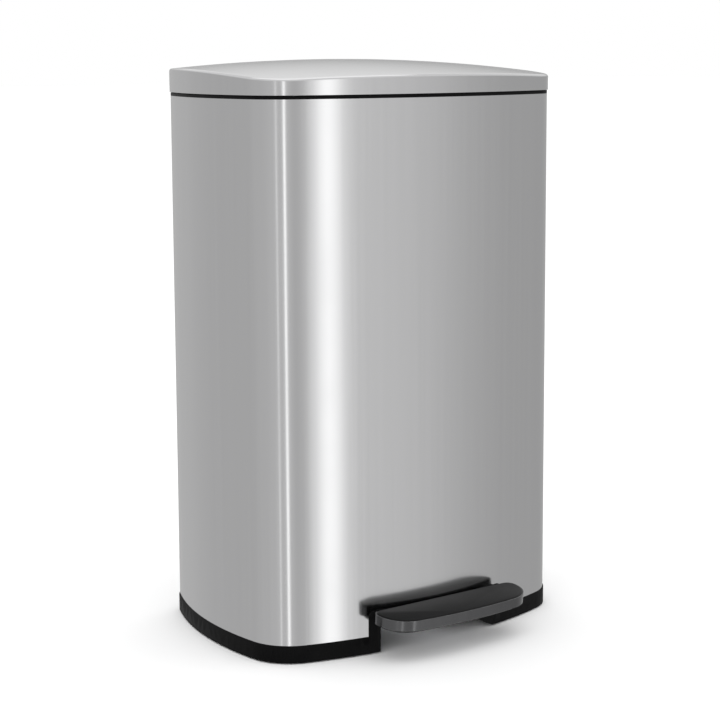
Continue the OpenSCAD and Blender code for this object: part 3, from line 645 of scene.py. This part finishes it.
# mouldings whose CAD shape is right are merged and shaded smooth
copies = {
    "base": ("base_moulding", "root", "black_plastic", 30),
    "pedal_surround": ("opening_frame", "root", "black_plastic", 30),
    "inner_bucket": ("bucket", "root", "grey_plastic", 40),
    "pedal_core": ("pedal_underside", "pedal", "pedal_plastic", 40),
    "pedal_pad": ("pedal_tread", "pedal", "pedal_plastic", 40),
    "pedal_trim": ("pedal_band", "pedal", "pedal_steel", 40),
}
copyWeld = 0.000002


def smoothCopy(node, name, rides, slot, degrees):
    bm = bmesh.new()
    bm.from_mesh(nodes[node].data)
    bmesh.ops.remove_doubles(bm, verts=bm.verts, dist=copyWeld)
    return addPiece(name, bm, rides, materials[slot], [node], smooth=degrees)


for node, (name, rides, slot, degrees) in copies.items():
    smoothCopy(node, name, rides, slot, degrees)
print("mouldings made")


# studio: pale floor, soft lights
studio = {
    "floor": 60.0, "floorColours": ((0.93, 0.93, 0.93, 1), (0.95, 0.95, 0.95, 1)),
    # brightness of the room all round, by bearing in degrees: soft boxes, strips and grey cards
    "room": [
        (-180, 0.84), (-156, 0.9), (-149, 0.95), (-147, 1.9), (-145, 0.92), (-132.5, 0.92),
        (-130.5, 2.1), (-128.5, 2.9), (-127, 1.6), (-124, 0.95), (-110, 0.82), (-100, 0.82),
        (-91, 0.88), (-88, 0.98), (-86, 1.6), (-84.5, 2.4), (-82, 2.4), (-80.3, 1.75),
        (-78.3, 1.12), (-74, 1.06), (-62, 1.01), (-52, 0.92), (-41, 0.78), (-28, 0.69),
        (-15, 0.66), (15, 0.6), (50, 0.46), (95, 0.74), (135, 0.77), (160, 0.82),
        (180, 0.84),
    ],
    "roomTop": 2.9,
    "overhead": 1.2, "overheadFrom": 6.0, "overheadFull": 22.0,
}
lamp = {"place": (0, 0, 2.6), "aim": (0, midY, 0.32), "size": 2.6, "power": 12}
shot = {"place": (-1.285, -1.699, 0.651), "yaw": 36.74, "pitch": 8.26, "roll": -0.28,
        "lens": 94.4, "shift": -0.05}


def makeFloor():
    bm = bmesh.new()
    bmesh.ops.create_grid(bm, x_segments=4, y_segments=4, size=studio["floor"] / 2)
    mesh = bpy.data.meshes.new("floor")
    bm.to_mesh(mesh)
    bm.free()
    floor = bpy.data.objects.new("floor", mesh)
    bpy.context.scene.collection.objects.link(floor)
    material, tree, shader = newMaterial("studio floor")
    coords = addNode(tree, 'ShaderNodeTexCoord', (-900, 0))
    cloud = noiseNode(tree, coords.outputs["Object"], 1.5, 3, 0.5, (-700, 0))
    link(tree, mixColour(tree, cloud, *studio["floorColours"], (-400, 0)), shader.inputs["Base Color"])
    shader.inputs["Roughness"].default_value = 0.9
    shader.inputs["Specular IOR Level"].default_value = 0.1
    mesh.materials.append(material)
    floor.visible_glossy = False    # keeps the floor out of the steel's mirror image


def makeWorld():
    world = bpy.data.worlds.new("studio")
    world.use_nodes = True
    tree = world.node_tree
    sky = tree.nodes["Background"]
    way = addNode(tree, 'ShaderNodeTexCoord', (-1500, 0))
    parts = addNode(tree, 'ShaderNodeSeparateXYZ', (-1300, 0))
    link(tree, way.outputs["Generated"], parts.inputs[0])
    turn = mathNode(tree, 'ARCTAN2', parts.outputs[1], parts.outputs[0], (-1100, 100))
    around = spread(tree, turn, -math.pi, math.pi, 0, 1, (-900, 100))
    ramp = addNode(tree, 'ShaderNodeValToRGB', (-700, 100))
    top = studio["roomTop"]
    stops = ramp.color_ramp.elements
    for i, (degrees, glow) in enumerate(studio["room"]):
        at = (degrees + 180) / 360
        stop = stops[i] if i < 2 else stops.new(at)
        stop.position = at
        stop.color = (glow / top, glow / top, glow / top, 1)
    link(tree, around, ramp.inputs[0])
    height = mathNode(tree, 'ARCSINE', parts.outputs[2], None, (-1100, -150))
    low, high = math.radians(studio["overheadFrom"]), math.radians(studio["overheadFull"])
    over = spread(tree, height, low, high, 0, 1, (-900, -150))
    shine = studio["overhead"] / top
    room = mixColour(tree, over, ramp.outputs[0], (shine, shine, shine, 1), (-400, 0))
    # plain white behind the can, the room only in reflections and as light
    path = addNode(tree, 'ShaderNodeLightPath', (-700, 400))
    seen = mixColour(tree, path.outputs["Is Camera Ray"], room, (1 / top, 1 / top, 1 / top, 1), (-200, 100))
    link(tree, seen, sky.inputs["Color"])
    sky.inputs["Strength"].default_value = top
    bpy.context.scene.world = world


def makeLamp():
    light = bpy.data.lights.new("overhead", 'AREA')
    light.shape = 'RECTANGLE'
    light.size = lamp["size"]
    light.size_y = lamp["size"]
    light.energy = lamp["power"]
    obj = bpy.data.objects.new("overhead", light)
    bpy.context.scene.collection.objects.link(obj)
    obj.location = lamp["place"]
    obj.rotation_euler = (Vector(lamp["aim"]) - Vector(lamp["place"])).to_track_quat('-Z', 'Y').to_euler()


def makeCamera():
    lens = bpy.data.cameras.new("camera")
    lens.lens = shot["lens"]
    lens.sensor_width = 36
    lens.shift_y = shot["shift"]
    lens.clip_end = 100
    camera = bpy.data.objects.new("camera", lens)
    bpy.context.scene.collection.objects.link(camera)
    yaw, pitch, roll = [math.radians(shot[key]) for key in ("yaw", "pitch", "roll")]
    level = Vector((math.sin(yaw), math.cos(yaw), 0)) * math.cos(pitch)
    ahead = level - Vector((0, 0, math.sin(pitch)))
    turn = ahead.to_track_quat('-Z', 'Y').to_matrix() @ Matrix.Rotation(roll, 3, 'Z')
    camera.location = shot["place"]
    camera.rotation_euler = turn.to_euler()
    bpy.context.scene.camera = camera


makeFloor()
makeWorld()
makeCamera()
makeLamp()
bpy.context.scene.view_settings.view_transform = 'Standard'
print("studio made")
